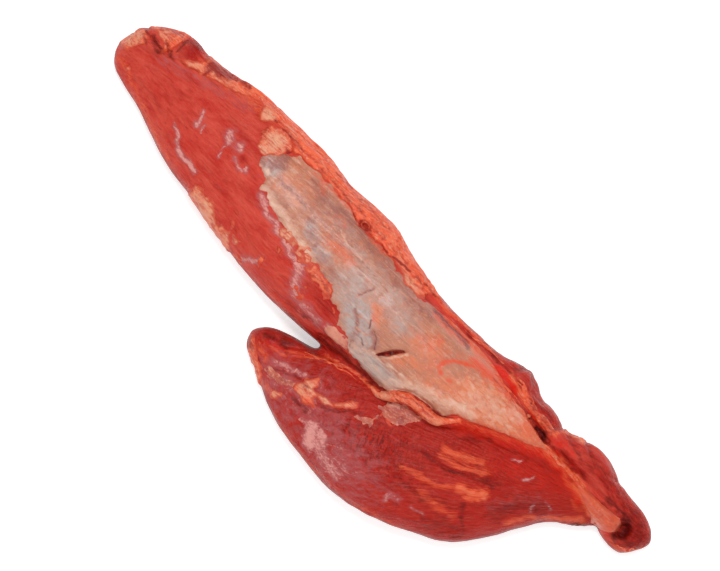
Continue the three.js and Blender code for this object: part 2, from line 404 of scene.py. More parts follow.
# Where the membrane's last film still veils it, mauve where thin and pale where thick
FILM = [
    (8.0, 0.68, [(28, -67), (32, -72), (35, -77)]),
    (5.0, 0.6, [(36, -66), (44, -70)]),
    (2.6, 0.55, [(17, -69), (22, -69)]),
    (9.0, 0.52, [(40, -74), (52, -78), (66, -81)]),
    (4.0, 0.44, [(56, -73), (64, -72), (70, -74)]),
    (4.0, 0.4, [(106, -64), (113, -63)]),
    (2.6, 0.5, [(104, -65), (106, -71)]),
    (26.0, 0.34, [(-15, -58), (20, -60), (60, -68), (76, -72)]),
    (3.6, 0.52, [(-27, -51), (-15, -45), (-3, -42)]),
    (2.6, 0.42, [(-22, -62), (-12, -61)]),
    (8.0, 0.2, [(-4, -34), (16, -32)]),
    (4.0, 0.36, [(8, -36), (14, -40), (20, -38)]),
    (8.0, 0.18, [(168, -18), (180, -4), (192, 8)]),
    (1.1, 0.6, [(191, 3), (193, -3)]),
    (1.1, 0.6, [(197, 10), (203, 8)]),
    (1.1, 0.6, [(172, 12), (177, 18)]),
    (1.1, 0.6, [(156, 17), (161, 21)]),
    (1.4, 0.4, [(124, -60), (134, -58)]),
    (5.0, 0.24, [(-245, 61), (-226, 66), (-207, 71), (-189, 76), (-170, 80)]),
    (1.8, 0.66, [(-195, 54), (-193, 49), (-191, 42)]),
    (1.3, 0.62, [(-187, 46), (-185, 40)]),
    (1.6, 0.64, [(-204, 32), (-196, 25), (-190, 20)]),
    (2.4, 0.72, [(-190, 20), (-182, 17.5), (-170, 16)]),
    (4.4, 0.62, [(-168, 54), (-164, 50)]),
    (3.4, 0.62, [(-157, 54), (-155, 50)]),
    (1.4, 0.7, [(-165, 45), (-162, 36)]),
    (2.0, 0.56, [(-152, 42), (-143, 39.5)]),
    (1.6, 0.6, [(-141, 44), (-140, 40)]),
    (6.5, 0.56, [(-60, 16), (-56, 6), (-50, 0)]),
    (3.8, 0.6, [(-119, 36), (-104, 29), (-90, 25), (-76, 20), (-62, 16)]),
    (3.5, 0.56, [(-100, -10), (-90, -5), (-86, 2)]),
    (4.0, 0.5, [(-16, -3), (4, -4)]),
    (5.0, 0.48, [(-42, -4), (-22, -5)]),
]
# Where blood and shade darken it, in creases and hollows
BLOOD_AND_SHADE = [
    (3.0, 0.5, WING_CREASE),
    (1.3, 0.5, [(48, -9.5), (55, -3), (60, 1), (66, 3.5), (80, 4.5), (95, 5), (98, 8)]),
    (1.6, 0.5, [(66, 65), (75, 65), (85, 66), (98, 66.5)]),
    (1.6, 0.36, STRAP_CREASE),
    (2.8, 0.8, [(153, 48.5), (158, 48), (165, 45.5)]),
    (2.0, 0.45, [(128, 51), (140, 50.5), (150, 48.5)]),
    (3.2, 0.4, [(112, 70), (116, 73)]),
    (1.6, 0.6, [(136, 56.5), (139, 57.5)]),
    (2.8, 0.42, [(175, 46), (186, 45), (206, 43.5)]),
    (2.4, 0.5, CAP_CREASE),
    (1.8, 0.6, CAP_FOLD),
    (1.4, 0.5, [(-241, 86), (-240.5, 80), (-240, 74)]),
    (3.4, 0.42, [(-238, 86), (-226, 88)]),
    (2.0, 0.42, BRANCH_CREASE),
    (2.4, 0.42, [(4, -60), (16, -61)]),
    (1.6, 0.42, [(-24, -55), (-14, -49), (-3, -46)]),
    (2.2, 0.42, [(100, -25), (124, -22), (142, -13), (158, -8)]),
    (3.4, 0.36, [(140, -14), (152, -8), (162, -3)]),
    (4.0, 0.36, [(138, 62), (152, 61), (164, 57)]),
    (2.4, 0.4, [(150, -32), (160, -42), (166, -48)]),
    (2.6, 0.34, [(98, -52), (125, -50), (152, -36)]),
    (2.4, 0.34, SEAM_CREASE),
    (6.0, 0.66, [(251, 42), (257, 38), (259, 33), (255, 27)]),
    (12.0, 0.4, [(256, 46), (266, 42), (271, 32)]),
    (9.0, 0.36, [(174, -20), (182, -4), (196, 4)]),
    (10.0, 0.3, [(140, -62), (165, -52)]),
    (4.5, 0.5, [(230, 44), (250, 44)]),
    (5.0, 0.4, [(262, 26), (269, 31)]),
    (6.0, 0.26, [(196, 60), (226, 56), (250, 50)]),
    (1.2, 0.36, [(-50, -10.5), (-30, -9), (-4, -10)]),
    (3.0, 0.4, [(-34, -35), (-24, -38)]),
    (3.0, 0.3, [(-250, 66), (-238, 68)]),
    (3.0, 0.45, [(-46, -40), (-34, -34), (-24, -31)]),
    (2.4, 0.3, HEAD_CREASE),
    (3.0, 0.3, BAND_CREASE),
    (1.8, 0.6, [(224, 12), (230, 17)]),
]
# The slit that a knife's point has left in the membrane
SLIT = [
    (26, 6), (27, 9), (31, 14), (35.5, 19), (39, 22.3), (41.5, 23), (39.5, 20.3), (36.5, 16),
    (32, 10.5), (28.2, 6.7),
]
LOW_SHADE_HEIGHT = 12  # how far up the side the meat is painted darker, as painted shade on its lower sides


def wandered(points, broad, fine, seed):
    """The points' plan with its places shifted a little, so that painted edges are ragged."""
    shift = [
        broad * noise(points, 7, seed + k) + fine * noise(points, 3, seed + 2 + k) for k in (0, 1)
    ]
    return points[:, :2] + np.column_stack(shift)


def shade_facing_down(piece, level, strength):
    """A mask of painted shade that grows as the surface turns down: it starts where the normal's height
    is level.
    """
    return np.clip(1 - normals_of(piece)[:, 2] / level, 0, 1) * strength


points = points_of(flesh)
ragged = wandered(points, 1.8, 1.0, 11)
# Painted shade: the deep mask grows towards the floor on the lower sides.
low_shade = np.clip(1 - points[:, 2] / LOW_SHADE_HEIGHT, 0, 0.9)
wing = np.where(in_wing(points[:, :2]), 0.8, 0.0)
paint(flesh, "grain", grain_of(points))
paint(flesh, "deep", np.maximum.reduce([spots(ragged, DEEP), wing, low_shade]))
paint(flesh, "orange", strokes(ragged, ORANGE))
paint(flesh, "film", strokes(ragged, FILM))
paint(flesh, "crimped", spots(ragged, CRIMPS))
paint(flesh, "scarlet", strokes(ragged, SCARLET))
# Painted shade and blood inside the knife's slit.
in_slit = np.clip(depth_inside(points[:, :2], SLIT) + 0.7, 0, 1) * 0.6
# Painted shade on the flesh's down-turned sides.
shaded_sides = shade_facing_down(flesh, 0.6, 0.55)
paint(flesh, "blood_and_shade", np.maximum.reduce([strokes(ragged, BLOOD_AND_SHADE), in_slit, shaded_sides]))

# Raw beef muscle, cut with a knife and moist: clear red, its fibre bundles a millimetre or two
# wide, a low satin shine, and light that goes a little way in. Sizes are in millimetres.
FIBRE = (30, 1.6)
BUNDLE = (60, 8)
FLECK = (6, 2)
LEAN_RED = "BE3126"
LEAN_PALE = "CD4A3B"
LEAN_DEEP = "A4120A"
FIBRE_DARK = "7A120C"
RIDGE_RED = "C0301F"
FIBRE_LIGHT = "D86450"
DARK_BLOOD_AND_SHADE = "4C0806"
SEAM_ORANGE = "DC5230"
STREAK_PEACH = "E87A58"
SCARLET_RED = "D6200E"
FILM_MAUVE = "AA5C5E"
FILM_PINK = "E09A90"


def pattern(tree, vector, size, low, high, most=1.0, added=None, detail=3, bent=0.0):
    """How much of a colour shows, from 0 to most: noise where it is between low and high. size is
    its lumps' length and width in the vector's unit. A socket that is added lifts the noise."""
    length, width = size
    scale = (1 / length, 1 / width, 1 / width)
    drawn = add_node(tree, "ShaderNodeMapping", {"Scale": scale}, {"Vector": vector})
    settings = {"Scale": 1, "Detail": detail, "Roughness": 0.62, "Distortion": bent}
    made = add_node(tree, "ShaderNodeTexNoise", settings, {"Vector": drawn.outputs[0]}).outputs["Fac"]
    if added:
        made = add_node(tree, "ShaderNodeMath", {"operation": "ADD"}, {0: made, 1: added}).outputs[0]
    settings = {"From Min": low, "From Max": high, "To Max": most}
    return add_node(tree, "ShaderNodeMapRange", settings, {"Value": made}).outputs[0]


def laid_over(tree, base, layers):
    """Colours laid over a base one after the other. Each layer is its share and its colour."""
    colour = add_node(tree, "ShaderNodeRGB").outputs[0]
    colour.default_value = linear(base)
    for share, over in layers:
        settings = {"data_type": "RGBA", 7: linear(over)}
        colour = add_node(tree, "ShaderNodeMix", settings, {0: share, 6: colour}).outputs[2]
    return colour


def painted(tree, names):
    """The sockets that read these painted attributes."""
    return [
        add_node(tree, "ShaderNodeAttribute", {"attribute_name": name}).outputs["Fac"]
        for name in names
    ]


raw_beef, tree = new_material("raw beef muscle")
grain = add_node(tree, "ShaderNodeAttribute", {"attribute_name": "grain"}).outputs["Vector"]
names = ("deep", "orange", "scarlet", "film", "crimped", "blood_and_shade")
deep, orange, scarlet, film, crimped, blood_and_shade = painted(tree, names)
crimps = pattern(tree, grain, (1.8, 5), 0.56, 0.34, 0.7, bent=1.2)
gaps = pattern(tree, grain, (10, 2.4), 0.48, 0.3, 0.65, bent=1.0)
ridges = pattern(tree, grain, (9, 2.2), 0.52, 0.7, 0.45, bent=1.0)
multiply = {"operation": "MULTIPLY"}
crimp_lines = add_node(tree, "ShaderNodeMath", multiply, {0: crimps, 1: crimped}).outputs[0]
deep_gaps = add_node(tree, "ShaderNodeMath", multiply, {0: gaps, 1: deep}).outputs[0]
deep_ridges = add_node(tree, "ShaderNodeMath", multiply, {0: ridges, 1: deep}).outputs[0]
# The deep mask also holds painted shade on the lower sides. The blood mask holds painted shade in
# creases, hollows, the slit and on down-turned sides.
colour = laid_over(tree, LEAN_RED, [
    (pattern(tree, grain, (22, 9), 0.36, 0.64), LEAN_PALE),
    (deep, LEAN_DEEP),
    (deep_gaps, FIBRE_DARK),
    (deep_ridges, RIDGE_RED),
    (pattern(tree, grain, FIBRE, 0.48, 0.3, 0.4, detail=5, bent=0.3), FIBRE_DARK),
    (pattern(tree, grain, BUNDLE, 0.46, 0.32, 0.25), FIBRE_DARK),
    (pattern(tree, grain, FLECK, 0.5, 0.75, 0.2, bent=0.5), FIBRE_LIGHT),
    (pattern(tree, grain, FIBRE, 0.54, 0.78, 0.24), FIBRE_LIGHT),
    (crimp_lines, DARK_BLOOD_AND_SHADE),
    (pattern(tree, grain, (14, 2), 0.64, 1.06, 0.85, added=scarlet, bent=0.4), SCARLET_RED),
    (pattern(tree, grain, (14, 1.3), 0.7, 0.98, 0.85, added=orange, detail=6), SEAM_ORANGE),
    (pattern(tree, grain, (9, 1.1), 0.88, 1.12, 0.7, added=orange, detail=6), STREAK_PEACH),
    (pattern(tree, grain, (10, 3), 0.6, 1.0, 0.8, added=film, detail=6, bent=0.6), FILM_MAUVE),
    (pattern(tree, grain, (4, 1.6), 0.9, 1.16, 0.85, added=film, detail=6, bent=0.8), FILM_PINK),
    (pattern(tree, grain, (8, 2.5), 0.64, 1.2, 0.95, added=blood_and_shade), DARK_BLOOD_AND_SHADE),
])
fine = pattern(tree, grain, FIBRE, 0.2, 0.8, detail=5)
coarse = pattern(tree, grain, FLECK, 0.2, 0.8)
relief = add_node(tree, "ShaderNodeMath", {"operation": "ADD"}, {0: fine, 1: coarse}).outputs[0]
bump = add_node(tree, "ShaderNodeBump", {"Strength": 0.6, "Distance": 0.0009}, {"Height": relief})
moisture = pattern(tree, grain, (14, 9), 0.35, 0.65, 0.26)
roughness = add_node(tree, "ShaderNodeMath", {"operation": "ADD", 1: 0.22}, {0: moisture}).outputs[0]
shader = add_node(
    tree,
    "ShaderNodeBsdfPrincipled",
    {
        "IOR": 1.38,
        "Specular IOR Level": 0.16,
        "Subsurface Weight": 0.08,
        "Subsurface Radius": (1.0, 0.25, 0.15),
        "Subsurface Scale": 0.003,
    },
    {"Base Color": colour, "Roughness": roughness, "Normal": bump.outputs[0]},
)
add_node(tree, "ShaderNodeOutputMaterial", {}, {"Surface": shader.outputs[0]})
flesh.data.materials.append(raw_beef)
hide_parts("tenderloin")
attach(flesh, "root")


# Silverskin: the tough pearly membrane over the top of the fillet. The knife has left it whole
# between the side muscle and the head, and frayed along its lower edge. It is under a millimetre thick.
DIVE_SLOPE = 0.45  # how steeply a sheet dives under the flesh beyond its rim
DIVE_DEPTH = 0.9


def grown_sheet(name, inside, relief, reach=3.0, thickness=1.5):
    """A sheet grown on the flesh. inside() is how deep in millimetres a point lies within its rim,
    and relief() how far the sheet stands proud there. Beyond its rim it dives under the flesh."""
    piece = copy_of(flesh, name)
    piece.data.materials.clear()
    for attribute in ("grain", "deep", "orange", "scarlet", "film", "crimped", "blood_and_shade"):
        piece.data.attributes.remove(piece.data.attributes[attribute])
    outside = inside(points_of(piece)) < -reach
    corners = np.empty(len(piece.data.loops), dtype=np.int32)
    piece.data.loops.foreach_get("vertex_index", corners)
    starts = np.empty(len(piece.data.polygons), dtype=np.int32)
    piece.data.polygons.foreach_get("loop_start", starts)
    only(piece)
    bpy.context.tool_settings.mesh_select_mode = (False, False, True)
    bpy.ops.object.mode_set(mode="EDIT")
    bpy.ops.mesh.select_all(action="DESELECT")
    bpy.ops.object.mode_set(mode="OBJECT")
    piece.data.polygons.foreach_set("select", np.logical_or.reduceat(outside[corners], starts))
    bpy.ops.object.mode_set(mode="EDIT")
    bpy.ops.mesh.delete(type="FACE")
    bpy.ops.mesh.select_all(action="SELECT")
    bpy.ops.mesh.subdivide(number_cuts=1)
    bpy.ops.object.mode_set(mode="OBJECT")
    points = points_of(piece)
    depth = inside(points)
    dived = np.maximum(depth * DIVE_SLOPE, -DIVE_DEPTH)
    proud = np.where(depth > 0, relief(points, depth), dived)
    put_points(piece, points + normals_of(piece) * proud[:, None])
    modify(piece, "SOLIDIFY", thickness=thickness * MM, offset=-1)
    bpy.ops.object.shade_smooth()
    return piece


SILVERSKIN_OUTLINE = [
    (-137, 58), (-131, 50), (-124, 46), (-122, 41), (-112, 36), (-95, 31.5), (-80, 28), (-66, 26),
    (-48, 25), (-36, 21), (-26, 14), (-16, 10.5), (-10, 4), (2, 1), (10, -6), (26, -9), (44, -9.5),
    (51, -8), (57, -2.5), (63, 1.5), (70, 4), (80, 5), (95, 6), (100, 13), (112, 17), (130, 25),
    (146, 30.5), (160, 36), (171, 41), (160, 43.5), (150, 47), (138, 50), (124, 52), (113, 54),
    (104, 58.5), (92, 61.5), (76, 63), (56, 63), (36, 62.5), (20, 60), (8, 60.5), (0, 64),
    (-20, 68), (-40, 69.5), (-50, 70), (-60, 74), (-80, 76), (-100, 78.5), (-117, 78), (-121, 72),
    (-127, 71), (-131, 66), (-136, 64),
]
SILVERSKIN_LOW = 12  # the height that its rim reaches down to


def fray(points, coarse, fine, seed):
    """Ragged wandering of a rim, in millimetres."""
    return coarse * noise(points, 6.5, seed) + fine * noise(points, 2.6, seed + 1)


def inside_silverskin(points):
    """How deep a point lies in the membrane, whose rim is torn most towards the tail."""
    plan = points[:, :2]
    torn = np.clip((60 - plan[:, 0]) / 50, 0.3, 1)
    depth = depth_inside(plan, SILVERSKIN_OUTLINE) + torn * fray(points, 2.0, 1.3, 21)
    depth = np.minimum(depth, -depth_inside(plan, SLIT))
    return np.where(points[:, 2] > SILVERSKIN_LOW, depth, -9)


def silverskin_relief(points, depth):
    lengthwise = noise(points / (14, 1, 1), 2.3, 24) * 0.16 + noise(points / (7, 1, 1), 5, 25) * 0.22
    wrinkles = noise(points / (1, 3, 3), 3.4, 26) * 0.1
    return 0.55 * (1 - np.exp(-depth / 0.9)) + (lengthwise + wrinkles) * np.clip(depth / 3, 0, 1)


# Where it is blue-grey over dark meat, and where peach over fat: soft oval spots
COOL = [
    (-2, 16, 26, 12, -38, 1.0),
    (30, -2, 26, 7, 4, 1.0),
    (-128, 57, 8, 8, -35, 0.9),
    (-72, 42, 9, 6, -30, 0.8),
    (-54, 33, 12, 5, -10, 0.8),
    (-20, 30, 24, 16, 0, 0.6),
    (0, 46, 50, 12, -8, 0.4),
    (24, 36, 10, 9, 0, 0.5),
    (-60, 62, 20, 8, -10, 0.35),
]
WARM = [
    (122, 38, 44, 15, 14, 1.0),
    (92, 24, 34, 12, 10, 0.7),
    (52, 38, 16, 12, 0, 0.65),
    (46, 18, 14, 6, 20, 0.7),
    (6, 29, 5, 9, 30, 1.0),
    (-104, 60, 20, 16, 0, 0.35),
    (-48, 45, 16, 6, -6, 0.55),
    (60, 62, 26, 4, 0, 0.9),
]
# Where it is mauve, flushed with juice, bruised and pearly pale, with a few painted glints: half width,
# strength, line
MAUVE = [
    (6.0, 0.56, [(-96, 70), (-80, 64), (-60, 68), (-20, 63), (10, 57), (38, 56)]),
    (6.0, 0.95, [(-138, 59), (-129, 58), (-125, 66)]),
    (5.0, 0.5, [(-78, 47), (-68, 40), (-62, 36), (-50, 30), (-36, 27)]),
    (12.0, 0.3, [(-84, 56), (-60, 55), (-36, 54)]),
    (3.0, 0.4, [(-122, 42), (-112, 36), (-98, 32)]),
    (3.0, 0.5, [(-116, 55), (-104, 54), (-92, 53)]),
    (2.6, 0.45, [(-114, 44), (-98, 43)]),
    (2.0, 0.75, [(-8, 22), (-2, 16), (3, 10)]),
    (3.0, 0.7, [(14, 17), (19, 13), (22, 8)]),
    (1.6, 0.6, [(-15, 30), (-8, 42)]),
    (3.0, 0.5, [(2, 6), (10, 0)]),
]
FLUSHED = [
    (2.2, 1.0, [(71, 30), (67, 33), (68, 38), (73, 43), (80, 47.5), (88, 51)]),
    (2.6, 0.9, [(86, 50), (93, 52)]),
    (8.0, 0.3, [(62, 28), (64, 40), (74, 48)]),
    (2.2, 0.55, [(100, 46), (104, 49), (110, 52)]),
    (2.4, 0.75, [(79, 30), (81, 30)]),
    (2.0, 0.6, [(79, 18.5), (81, 18)]),
    (6.0, 0.32, [(42, 38), (56, 40)]),
    (3.4, 0.8, [(74, 62), (92, 60), (104, 56.5), (112, 54)]),
    (4.0, 1.25, [(40, 61), (52, 60.5), (70, 60)]),
    (5.0, 1.0, [(84, 53), (102, 53), (112, 53), (124, 51.5)]),
    (6.0, 0.65, [(130, 45), (152, 41)]),
    (6.0, 0.4, [(50, 36), (54, 46)]),
    (2.6, 0.85, [(124, 51.5), (140, 49), (150, 46), (162, 43)]),
    (2.0, 0.6, [(148, 38), (160, 39)]),
    (4.4, 0.55, [(104, 13), (120, 20), (140, 28), (166, 39)]),
    (1.6, 0.6, [(-20, 67), (-40, 69), (-60, 73), (-100, 77)]),
    (5.0, 0.3, [(-66, 62), (-56, 61)]),
    (6.0, 0.4, [(-56, 46), (-34, 45)]),
    (2.6, 0.5, [(-92, 76), (-86, 68)]),
    (2.0, 0.4, [(2, 28), (8, 24)]),
]
BRUISED = [
    (0.9, 0.7, [(6, 23), (9, 18)]),
    (0.8, 0.6, [(14, 18.5), (18, 15.5), (23, 8)]),
    (0.9, 0.5, [(9, 8), (14, 4.5)]),
    (1.0, 0.34, [(-14, 30), (-8, 41)]),
    (2.6, 0.62, [(36, 61), (50, 60), (60, 60), (70, 59), (74, 57.5)]),
    (1.4, 0.5, [(50, 60), (68, 59.3)]),
    (2.0, 0.32, [(104, 53.5), (120, 51.5)]),
    (2.4, 0.4, [(-112, 53.5), (-88, 52.5)]),
    (0.7, 0.34, [(-30, 51), (-8, 48.5), (2, 46.5)]),
    (0.7, 0.2, [(-60, 57), (-30, 52)]),
    (1.0, 0.3, [(-58, 73), (-52, 70)]),
    (1.2, 0.3, [(6, 1), (9, -5)]),
]
# Pale strokes: the short ones near x = -127 mm and along y = 3 to 8 mm from x = 15 to 66 mm are painted
# glints; the rest are pale membrane.
PALE_AND_GLINTS = [
    (5.5, 0.46, [(-120, 41), (-108, 37), (-100, 36), (-92, 35), (-84, 32), (-76, 29), (-62, 27)]),
    (1.8, 0.6, [(-128, 53), (-126, 52)]),
    (9.0, 0.14, [(-112, 48), (-98, 42), (-84, 38)]),
    (8.0, 0.18, [(-114, 66), (-98, 66)]),
    (1.2, 0.32, [(15, 3), (22, 3), (30, 5), (46, 8)]),
    (1.6, 0.34, [(50, 8), (66, 8)]),
    (4.0, 0.3, [(10, -2), (30, -3), (48, -4)]),
    (12.0, 0.3, [(100, 34), (114, 35), (132, 39)]),
    (6.0, 0.4, [(50, -1), (60, 7), (76, 12), (92, 16), (110, 22)]),
    (1.0, 0.4, [(24, 5), (31, 9), (38, 15), (44, 22)]),
    (1.2, 0.24, [(-62, 56), (-30, 51.5)]),
]

silverskin = grown_sheet("silverskin", inside_silverskin, silverskin_relief)
points = points_of(silverskin)
ragged = wandered(points, 2.4, 1.0, 27)
straight = wandered(points, 0.6, 0.3, 27)
paint(silverskin, "cool", spots(ragged, COOL))
paint(silverskin, "warm", spots(ragged, WARM))
paint(silverskin, "mauve", strokes(ragged, MAUVE))
paint(silverskin, "flushed", strokes(wandered(points, 1.2, 0.8, 27), FLUSHED))
paint(silverskin, "pale", strokes(wandered(points, 1.4, 1.0, 27), PALE_AND_GLINTS))
# Bruises, and painted shade on the lips of the knife's slit.
bruised_and_shaded = np.maximum(strokes(straight, BRUISED), np.clip(depth_inside(points[:, :2], SLIT) + 0.6, 0, 1))
paint(silverskin, "bruised_and_shaded", bruised_and_shaded)

# Silverskin's collagen: fine fibres along the meat, half a millimetre apart, pearly where it is
# thick, grey-blue where thin over the dark meat, peach where fat lies under it, with a few painted
# glints.
BEIGE = "B8765C"
BLUE_GREY = "AE9E98"
PEACH = "D4744E"
FLUSH_RED = "D94B2A"
BRUISE_AND_SHADE = "55161A"
COLLAGEN_MAUVE = "94584F"
COLLAGEN_WHITE_AND_GLINT = "E2B8A2"
FIBRE_BROWN = "8E5844"

collagen, tree = new_material("moist silverskin membrane")
place = add_node(tree, "ShaderNodeTexCoord").outputs["Object"]
names = ("cool", "warm", "mauve", "flushed", "bruised_and_shaded", "pale")
cool, warm, mauve, flushed, bruised_and_shaded, pale = painted(tree, names)
threads = (45 * MM, 1.1 * MM)
colour = laid_over(tree, BEIGE, [
    (pattern(tree, place, (9 * MM, 6 * MM), 0.6, 1.2, added=warm), PEACH),
    (pattern(tree, place, (12 * MM, 8 * MM), 0.6, 1.3, 0.95, added=cool), BLUE_GREY),
    (pattern(tree, place, (9 * MM, 4.5 * MM), 0.54, 0.3, 0.4, bent=0.8), COLLAGEN_MAUVE),
    (pattern(tree, place, (7 * MM, 4 * MM), 0.6, 1.15, 0.8, added=mauve, bent=0.8), COLLAGEN_MAUVE),
    (pattern(tree, place, (5 * MM, 3 * MM), 0.52, 0.72, 0.4, bent=0.8), PEACH),
    (pattern(tree, place, (4 * MM, 3 * MM), 0.56, 0.74, 0.4, bent=1.0), COLLAGEN_WHITE_AND_GLINT),
    (pattern(tree, place, threads, 0.55, 0.75, 0.22), COLLAGEN_WHITE_AND_GLINT),
    (pattern(tree, place, (80 * MM, 2.2 * MM), 0.42, 0.28, 0.35), FIBRE_BROWN),
    (pattern(tree, place, (5 * MM, 3 * MM), 0.62, 1.5, 0.9, added=flushed, bent=0.8), FLUSH_RED),
    (pattern(tree, place, (4 * MM, 3 * MM), 0.62, 0.76, 0.4, bent=1.0), FLUSH_RED),
    (pattern(tree, place, (8 * MM, 4 * MM), 0.6, 1.1, 0.85, added=pale, bent=0.6), COLLAGEN_WHITE_AND_GLINT),
    (pattern(tree, place, (4 * MM, 2 * MM), 0.72, 1.25, 0.95, added=bruised_and_shaded), BRUISE_AND_SHADE),
])
fine = pattern(tree, place, threads, 0.2, 0.8, detail=4)
coarse = pattern(tree, place, (7 * MM, 3 * MM), 0.2, 0.8)
relief = add_node(tree, "ShaderNodeMath", {"operation": "ADD"}, {0: fine, 1: coarse}).outputs[0]
bump = add_node(tree, "ShaderNodeBump", {"Strength": 0.45, "Distance": 0.0007}, {"Height": relief})
shader = add_node(
    tree,
    "ShaderNodeBsdfPrincipled",
    {
        "IOR": 1.4,
        "Specular IOR Level": 0.35,
        "Roughness": 0.35,
        "Subsurface Weight": 0.06,
        "Subsurface Radius": (1.0, 0.45, 0.3),
        "Subsurface Scale": 0.002,
        "Coat Weight": 0.1,
        "Coat Roughness": 0.15,
    },
    {"Base Color": colour, "Normal": bump.outputs[0]},
)
add_node(tree, "ShaderNodeOutputMaterial", {}, {"Surface": shader.outputs[0]})
silverskin.data.materials.append(collagen)
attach(silverskin, "root")


# Side fat: the soft orange fat and strands that cover the side muscle, from the tail to the middle,
# and down the meat's side. It is torn lengthwise where the membrane was pulled off.
SIDE_FAT_OUTLINE = [
    (-226, 70.5), (-213, 73.5), (-205, 76), (-195, 78.5), (-185, 81), (-178, 83.5), (-169, 88),
    (-164, 88), (-162, 80), (-158, 78.5), (-152, 82), (-147, 86), (-140, 85.5), (-130, 83),
    (-122, 76), (-110, 77.5), (-100, 78.5), (-90, 77), (-80, 75.5), (-66, 75.5), (-58, 74),
    (-51, 69), (-40, 68), (-28, 69), (-20, 67.5), (-4, 65.5), (0, 63), (8, 60), (20, 59), (25, 62),
    (26, 68), (40, 70), (40, 110), (-226, 110),
]
TAIL_LUMP = [(-240, 74), (-236, 70), (-229, 75.5), (-221, 81.5), (-220, 100), (-241, 100)]
VEIN_HOLE = (-45.5, 72.5)
SIDE_FAT_LOW = 5  # the height of its lower edge, which rises towards the head over this stretch
RISE_START_X = 2
RISE_LENGTH = 38
RISE = 26


def clear_of_lump(points):
    """How far a point lies from the dark lump of meat in the tail's cap."""
    return -depth_inside(points[:, :2], TAIL_LUMP) + fray(points, 1.2, 0.6, 33)


def inside_side_fat(points):
    plan = points[:, :2]
    depth = depth_inside(plan, SIDE_FAT_OUTLINE) + fray(points, 1.5, 0.8, 31)
    hole = np.hypot(*((plan - VEIN_HOLE) / (1.5, 1)).T) - 2.2
    rise = np.clip((points[:, 0] - RISE_START_X) / RISE_LENGTH, 0, 1) * RISE
    above = points[:, 2] - SIDE_FAT_LOW - rise + fray(points, 3.0, 1.4, 36)
    return np.minimum.reduce([depth, clear_of_lump(points), hole, above])


def fat_relief(points, depth):
    lobules = noise(points / (2.4, 1, 1), 4.5, 41) * 0.8 + noise(points / (4, 1, 1), 2.2, 42) * 0.35
    torn = np.exp(-(noise(points / (7, 1, 1), 5, 35) / 0.09) ** 2) * 0.8
    return 1.3 * (1 - np.exp(-depth / 1.3)) + (lobules - torn) * np.clip(depth / 2, 0, 1)


side_fat = grown_sheet("side_fat", inside_side_fat, fat_relief, thickness=2.0)

# Where the fat is thick and pale: soft oval spots
PEACHY = [
    (52, -12, 9, 4, 45, 1.0),
    (92, -1, 14, 5, 10, 0.8),
    (70, -3, 14, 4, 10, 0.5),
    (30, -14, 20, 3, 0, 0.9),
    (-157, 84, 8, 6, -20, 1.1),
    (-136, 87, 10, 4, 0, 0.6),
    (-192, 80.5, 22, 3, 8, 0.7),
    (-66, 80, 14, 2.5, 0, 0.5),
    (8, 64, 16, 4, -12, 1.0),
    (-16, 74, 14, 3, -10, 0.5),
    (-96, 85, 10, 3, 0, 0.4),
    (-272, 58, 12, 7, 60, 0.95),
    (-257, 76, 10, 5, 30, 0.85),
    (-224, 74, 13, 4, 22, 0.8),
    (-139, 73, 12, 10, 0, 1.2),
    (-140, 63, 7, 3, 0, 1.4),
    (-92, 31, 42, 12, -12, 1.3),
    (-44, 20, 22, 8, -20, 0.5),
    (-140, 1, 26, 10, -12, 1.0),
    (-112, -3, 14, 10, 0, 1.0),
    (4, -47, 11, 10, 0, 1.1),
    (20, -45, 8, 4, 0, 1.2),
    (34, -37, 16, 6, 38, 0.8),
    (-8, -2, 16, 8, 0, 1.2),
    (-10, -66, 8, 6, 0, 1.1),
    (-36, -62, 16, 4, -38, 0.5),
    (180, 62, 10, 4, 10, 0.9),
]
# Cracks and stains of blood in it, and painted shade in its crevices and along the rolled edge's lower
# side: half width, strength, line
RED_LINES_AND_SHADE = [
    (3.0, 0.5, [(2, -48), (6, -47)]),
    (5.0, 0.84, [(-212, 83), (-199, 86)]),
    (3.0, 0.34, [(-151, 79), (-150, 66)]),
    (5.0, 0.22, [(-60, 84), (-30, 83)]),
    (3.5, 0.42, [(-222, 86), (-216, 84)]),
    (3.6, 0.6, [(-57, -49), (-48, -55)]),
    (4.0, 0.34, [(-42, 77), (-30, 75)]),
    (1.6, 0.4, [(-52, 17), (-40, 20), (-30, 15)]),
    (2.0, 0.6, [(-213, 76), (-211, 86)]),
    (2.6, 0.6, [(-206, 85), (-190, 89), (-182, 91)]),
    (1.3, 0.5, [(-150, 84), (-128, 84), (-118, 82)]),
    (2.4, 0.7, [(-126, 75), (-123, 73)]),
    (1.2, 0.4, [(-100, 81), (-70, 79), (-50, 77)]),
    (1.0, 0.4, [(-90, 87), (-60, 86), (-30, 83)]),
    (1.2, 0.6, [(-58, 73), (-52, 70)]),
    (3.6, 0.6, [(-48, 71), (-42, 72)]),
    (1.2, 0.6, [(-27, 70), (-20, 69)]),
    (1.2, 0.7, [(-13, 70), (2, 70)]),
    (1.3, 0.5, [(8, 72), (30, 68)]),
    (1.8, 0.7, [(-269, 70), (-262, 69)]),
    (1.8, 0.5, [(-278, 58), (-275, 66), (-269, 73)]),
    (1.4, 0.45, [(-262, 79), (-254, 83), (-246, 86)]),
    (1.4, 0.45, [(-262, 62), (-268, 66)]),
    (1.8, 0.5, [(-252, 73), (-242, 69)]),
    (1.3, 0.6, [(-241, 85), (-241, 74)]),
    (4.0, 0.4, [(140, 58), (168, 53)]),
    (1.2, 0.45, [(60, -8), (75, -5), (95, -4)]),
    (0.9, 0.4, [(58, -5), (70, 0.5), (90, 1.5)]),
]


